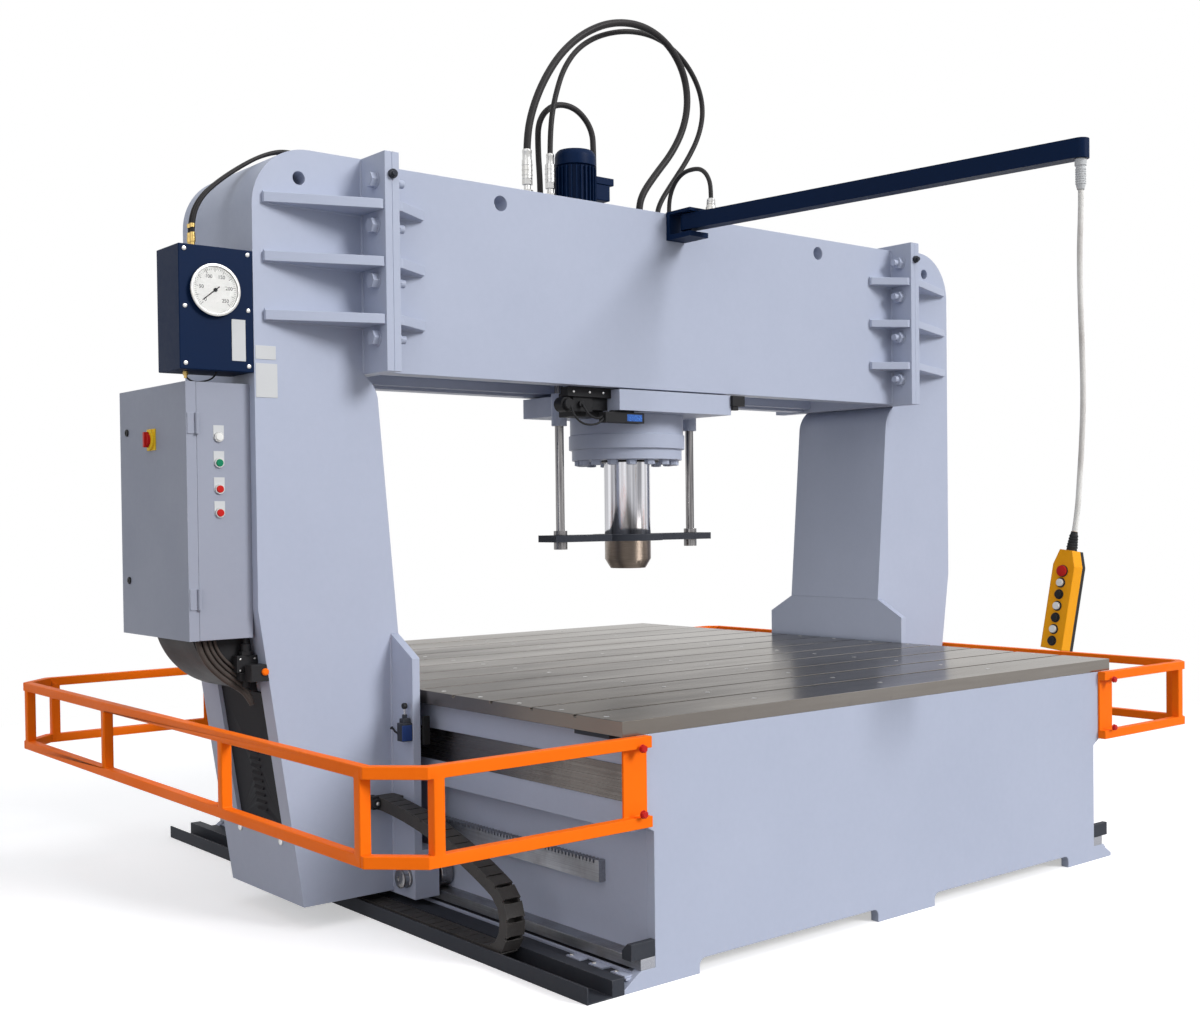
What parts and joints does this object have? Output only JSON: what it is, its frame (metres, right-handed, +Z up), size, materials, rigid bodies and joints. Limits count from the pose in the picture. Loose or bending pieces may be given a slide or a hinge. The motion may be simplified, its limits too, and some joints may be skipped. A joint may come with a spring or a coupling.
{
  "type": "gantry straightening press",
  "caption": "Travelling portal press over a plate table: rails, cross carriage with hydraulic ram, switch cabinet, guards and a hand pendant on a swinging arm",
  "frame": {"origin": "on the floor, under the middle foot of the middle rib, at the table's centre", "axes": "X along the beam to the right, Y along the table away from the viewer, Z up"},
  "size_m": [3.467, 3.1928, 3.1084],
  "materials": {
    "body_paint": "satin pale blue-grey paint",
    "navy_paint": "smooth dark blue paint",
    "guard_paint": "bright orange powder coat",
    "dark_paint": "graphite paint",
    "table_steel": "ground plate with fine tool lines",
    "machined_steel": "bright machined steel",
    "rail_steel": "worn rail steel",
    "stainless": "stainless strip",
    "chrome_rod": "polished rod",
    "black_plastic": "black moulded plastic",
    "amber_plastic": "amber moulded plastic",
    "hose_rubber": "black hose",
    "brass": "plain brass fittings",
    "dial_white": "white dial in a steel rim"
  },
  "bodies": {
    "base": {"base_end_front": "body_paint", "base_end_back": "body_paint", "base_mid_rib": "body_paint", "base_side_left": "body_paint", "base_side_right": "body_paint", "table_top": "table_steel", "cover_strips": "stainless", "rails": "rail_steel", "rail_stops": "dark_paint", "racks": "rail_steel", "cable_channel": "dark_paint", "guard_near": "guard_paint", "guard_far": "guard_paint", "guard_sides": "guard_paint"},
    "gantry": {"column_left": "body_paint", "column_right": "body_paint", "inner_plate_left": "body_paint", "inner_plate_right": "body_paint", "beam_front_plate": "body_paint", "beam_back_plate": "body_paint", "beam_rails": "machined_steel", "beam_flanges": "body_paint", "column_flanges": "body_paint", "gussets": "body_paint", "cabinet_body": "body_paint", "cable_duct": "black_plastic", "louvre_cover": "dark_paint", "gauge_box": "navy_paint", "pressure_gauge": "dial_white", "gauge_fittings": "brass", "gauge_hose_near": "hose_rubber", "gauge_hose_far": "hose_rubber", "limit_switch": "black_plastic", "drag_chain": "black_plastic", "jib_bracket": "navy_paint", "arm_hose": "hose_rubber"},
    "carriage": {"carriage_block": "body_paint", "carriage_hangers": "body_paint", "cylinder": "machined_steel", "drive_valve": "black_plastic", "readout": "black_plastic", "power_unit": "body_paint", "pump_motor": "navy_paint", "hose_fittings": "brass", "hose_large": "hose_rubber", "hose_small": "hose_rubber", "hose_rear": "hose_rubber"},
    "ram": {"ram_rod": "chrome_rod", "tie_bar": "machined_steel", "guide_rods": "machined_steel"},
    "jib": {"jib_arm": "navy_paint", "tip_gland": "black_plastic", "pendant_cable": "hose_rubber", "pendant": "amber_plastic"},
    "cabinet_door": {"cabinet_door": "body_paint", "door_fittings": "black_plastic"},
    "wheel_front_left": {"wheel_front_left": "machined_steel"},
    "wheel_front_right": {"wheel_front_right": "machined_steel"},
    "wheel_back_left": {"wheel_back_left": "machined_steel"},
    "wheel_back_right": {"wheel_back_right": "machined_steel"}
  },
  "joints": [
    {"name": "gantry_travel", "type": "slide", "parent": "base", "child": "gantry", "axis": [0, 1, 0], "range_m": [-0.89, 0.83]},
    {"name": "carriage_travel", "type": "slide", "parent": "gantry", "child": "carriage", "axis": [1, 0, 0], "range_m": [-0.65, 0.65]},
    {"name": "ram_stroke", "type": "slide", "parent": "carriage", "child": "ram", "axis": [0, 0, 1], "range_m": [-0.3, 0.25]},
    {"name": "jib_swing", "type": "hinge", "parent": "gantry", "child": "jib", "pos_m": [0.006, -0.313, 2.28], "axis": [0, 0, 1], "range_deg": [-80, 70]},
    {"name": "door_swing", "type": "hinge", "parent": "gantry", "child": "cabinet_door", "pos_m": [-1.7703, -0.1792, 1.26], "axis": [0, 0, 1], "range_deg": [0, 110]},
    {"name": "roll_front_left", "type": "hinge", "parent": "gantry", "child": "wheel_front_left", "pos_m": [-1.05, -0.288, 0.1283], "axis": [1, 0, 0], "range_deg": [-992, 1064]},
    {"name": "roll_front_right", "type": "hinge", "parent": "gantry", "child": "wheel_front_right", "pos_m": [1.05, -0.288, 0.1283], "axis": [1, 0, 0], "range_deg": [-992, 1064]},
    {"name": "roll_back_left", "type": "hinge", "parent": "gantry", "child": "wheel_back_left", "pos_m": [-1.05, 0.374, 0.1283], "axis": [1, 0, 0], "range_deg": [-992, 1064]},
    {"name": "roll_back_right", "type": "hinge", "parent": "gantry", "child": "wheel_back_right", "pos_m": [1.05, 0.374, 0.1283], "axis": [1, 0, 0], "range_deg": [-992, 1064]}
  ],
  "couplings": [
    {"joint": "roll_front_left", "follows": "gantry_travel", "rad_per_m": -20.833},
    {"joint": "roll_front_right", "follows": "gantry_travel", "rad_per_m": -20.833},
    {"joint": "roll_back_left", "follows": "gantry_travel", "rad_per_m": -20.833},
    {"joint": "roll_back_right", "follows": "gantry_travel", "rad_per_m": -20.833}
  ]
}
